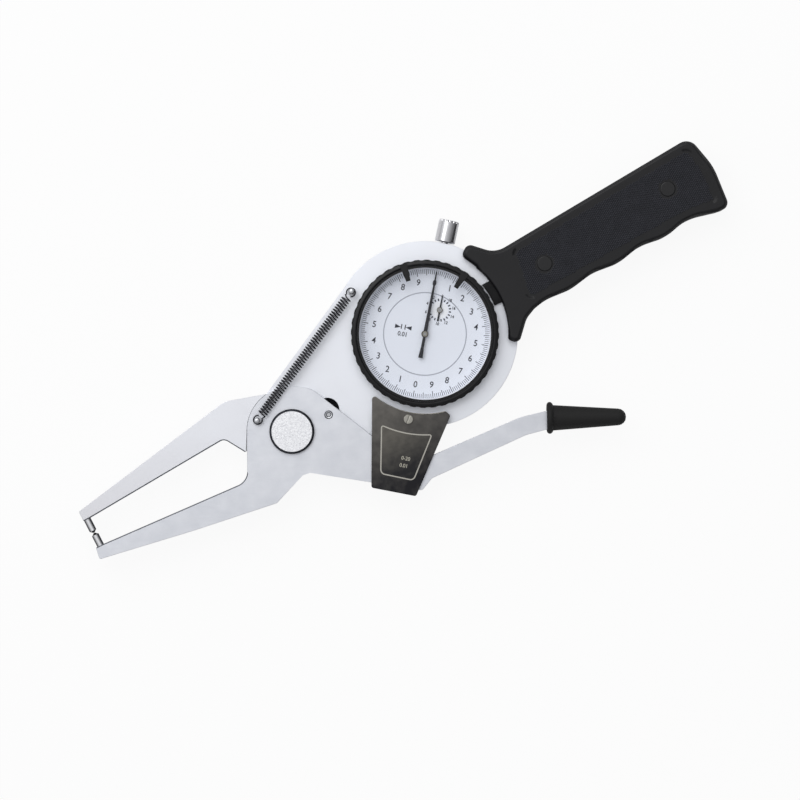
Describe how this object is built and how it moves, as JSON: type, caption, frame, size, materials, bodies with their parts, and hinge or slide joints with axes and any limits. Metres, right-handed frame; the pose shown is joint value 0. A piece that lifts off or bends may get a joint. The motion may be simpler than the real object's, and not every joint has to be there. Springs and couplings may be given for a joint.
{
  "type": "external dial caliper gauge",
  "caption": "Outside dial caliper gauge: two jaws with contact pins, squeeze lever, return spring, round dial, ribbed grip.",
  "frame": {"origin": "dial axis at the flat rear face", "axes": "+Z out of the dial, +X towards the grip with the pivot and the contact points on one line parallel to X, +Y to the fixed jaw's side"},
  "size_m": [0.2836, 0.1043, 0.0191],
  "materials": {
    "satin_chrome": "pearl satin chrome on steel",
    "jaw_steel": "ground steel, satin",
    "pin_steel": "hardened polished steel",
    "cap_steel": "face-turned steel",
    "screw_steel": "bright screw steel",
    "washer_black": "black oxide",
    "grip_plastic": "moulded black grip",
    "plug_plastic": "black plug",
    "sleeve_rubber": "matte black",
    "label_metal": "black nickel",
    "movement_brass": "grained brass",
    "sector_steel": "punched steel",
    "jewel_ruby": "synthetic ruby",
    "dial_white": "white printed dial",
    "hairspring_steel": "blued steel",
    "bezel_black": "black anodised",
    "dial_glass": "clear dial glass",
    "pointer_black": "blackened steel",
    "knob_chrome": "bright chrome",
    "spring_steel": "spring wire"
  },
  "bodies": {
    "frame_body": {"frame": "satin_chrome", "fixed_anvil": "pin_steel", "rear_cover": "satin_chrome", "rear_cover_screws": "screw_steel", "pivot_shaft": "pin_steel", "pivot_clip": "screw_steel", "pivot_washer": "washer_black", "pivot_cap": "cap_steel", "handle_front_shell": "grip_plastic", "handle_rear_shell": "grip_plastic", "handle_screws": "screw_steel", "handle_plugs": "plug_plastic", "label_bracket": "label_metal", "label_screw": "screw_steel", "label_bracket_screws": "screw_steel", "spring_post_upper": "screw_steel", "movement_plate_rear": "movement_brass", "movement_plate_screws": "screw_steel", "movement_plate_front": "movement_brass", "movement_pillars": "movement_brass", "movement_screws": "screw_steel", "bearing_jewels": "jewel_ruby", "dial_disc": "dial_white", "hairspring": "hairspring_steel", "hairspring_stud": "screw_steel", "bezel_retainer": "screw_steel"},
    "jaw_body": {"moving_jaw": "jaw_steel", "pivot_bush": "movement_brass", "moving_anvil": "pin_steel", "drive_pin": "pin_steel", "spring_post_lower": "screw_steel", "lever_sleeve": "sleeve_rubber", "sector_arm": "sector_steel"},
    "bezel_body": {"bezel": "bezel_black", "scale_ring": "dial_white", "dial_spacer_ring": "bezel_black", "crystal": "dial_glass", "crystal_ring": "bezel_black"},
    "limit_left_body": {"limit_hand_left": "bezel_black"},
    "limit_right_body": {"limit_hand_right": "bezel_black"},
    "pointer_body": {"centre_arbor": "pin_steel", "main_pointer": "pointer_black"},
    "counter_body": {"counter_arbor": "pin_steel", "counter_wheel": "movement_brass", "counter_pointer": "pointer_black"},
    "takeup_body": {"takeup_arbor": "pin_steel", "takeup_wheel": "movement_brass"},
    "clamp_body": {"clamp_knob": "knob_chrome"},
    "spring_upper_body": {"spring_hook_upper": "spring_steel", "spring_coil": "spring_steel"},
    "spring_lower_body": {"spring_hook_lower": "spring_steel"}
  },
  "joints": [
    {"name": "jaw_pivot", "type": "hinge", "parent": "frame_body", "child": "jaw_body", "pos_m": [-0.0638, -0.0103, 0.0121], "axis": [0, 0, 1], "range_deg": [0, 13.18], "stiffness_Nm_per_rad": 0.0675, "springref_deg": -103.13},
    {"name": "bezel_turn", "type": "hinge", "parent": "frame_body", "child": "bezel_body", "pos_m": [0, 0, 0.012], "axis": [0, 0, 1], "continuous": true},
    {"name": "limit_left_turn", "type": "hinge", "parent": "bezel_body", "child": "limit_left_body", "pos_m": [0, 0, 0.0185], "axis": [0, 0, 1], "range_deg": [-20, 120]},
    {"name": "limit_right_turn", "type": "hinge", "parent": "bezel_body", "child": "limit_right_body", "pos_m": [0, 0, 0.0185], "axis": [0, 0, 1], "range_deg": [-120, 20]},
    {"name": "pointer_turn", "type": "hinge", "parent": "frame_body", "child": "pointer_body", "pos_m": [0, 0, 0.014], "axis": [0, 0, 1], "range_deg": [-3606, 6]},
    {"name": "counter_turn", "type": "hinge", "parent": "frame_body", "child": "counter_body", "pos_m": [0.00943, 0.00567, 0.007], "axis": [0, 0, 1], "range_deg": [-1, 361]},
    {"name": "takeup_turn", "type": "hinge", "parent": "frame_body", "child": "takeup_body", "pos_m": [-0.00943, -0.00567, 0.008], "axis": [0, 0, 1], "range_deg": [-1, 361]},
    {"name": "clamp_turn", "type": "hinge", "parent": "frame_body", "child": "clamp_body", "pos_m": [0.02629, 0.03211, 0.0077], "axis": [0.6334, 0.7738, 0], "range_deg": [0, 270]},
    {"name": "spring_swing", "type": "hinge", "parent": "frame_body", "child": "spring_upper_body", "pos_m": [-0.018, 0.0278, 0.016], "axis": [0, 0, 1], "range_deg": [-0.1, 1.5]},
    {"name": "spring_stretch", "type": "slide", "parent": "spring_upper_body", "child": "spring_lower_body", "axis": [-0.8929, -0.4502, 0], "range_m": [-0.0001, 0.0032], "deforming": ["spring_coil"]}
  ],
  "couplings": [
    {"joint": "pointer_turn", "follows": "jaw_pivot", "ratio": -273.12},
    {"joint": "counter_turn", "follows": "jaw_pivot", "ratio": 27.312},
    {"joint": "takeup_turn", "follows": "jaw_pivot", "ratio": 27.312},
    {"joint": "spring_swing", "follows": "jaw_pivot", "ratio": 0.092537},
    {"joint": "spring_stretch", "follows": "jaw_pivot", "m_per_rad": 0.012824}
  ]
}
